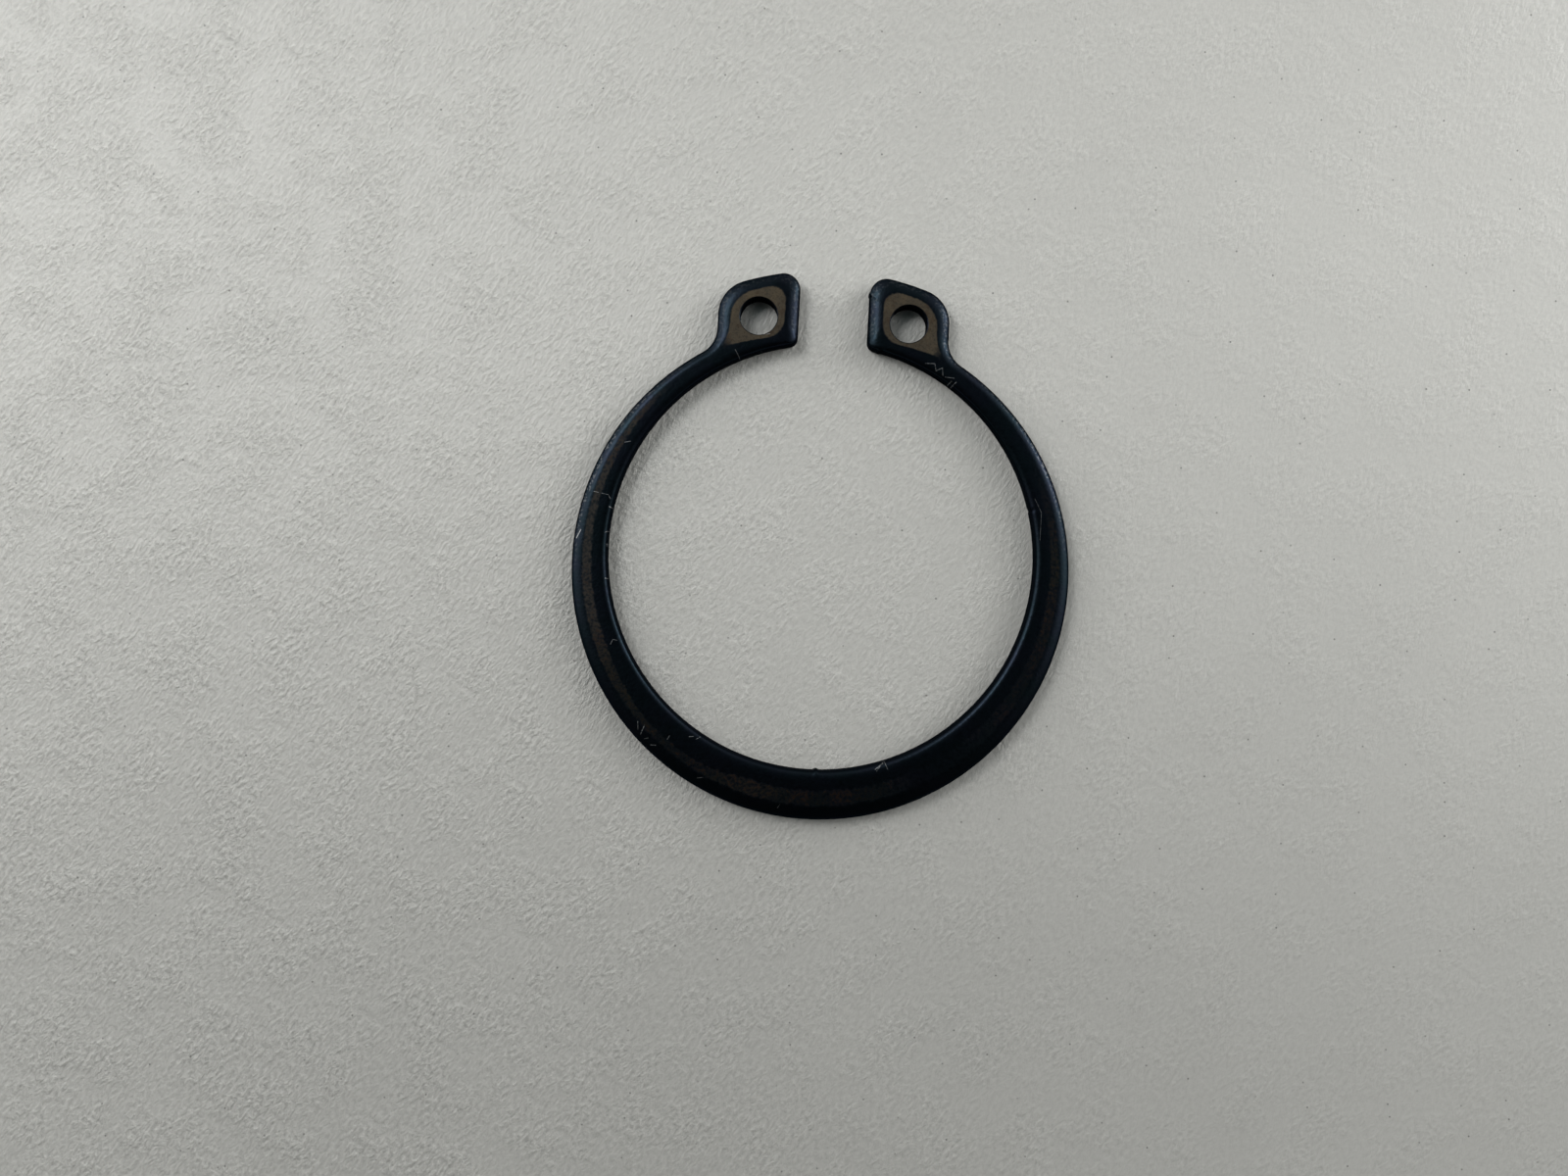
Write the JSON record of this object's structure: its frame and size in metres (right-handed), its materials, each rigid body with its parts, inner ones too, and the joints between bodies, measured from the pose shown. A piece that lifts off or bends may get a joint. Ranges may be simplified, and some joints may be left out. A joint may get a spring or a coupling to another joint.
{
  "type": "external retaining ring",
  "caption": "Open spring-steel ring with an eccentric tapered beam and a lug with a plier hole at each end, for the groove of a round shaft.",
  "frame": {"origin": "centre of the bore on the ring's flat lower face", "axes": "+Z along the bore axis, out of the rolled upper face; +Y through the gap between the lugs; the ring mirrors about the YZ plane"},
  "size_m": [0.0344, 0.0376, 0.0015],
  "materials": {
    "blackened_steel": "satin"
  },
  "bodies": {
    "root": {"retaining_ring": "blackened_steel"}
  },
  "joints": []
}
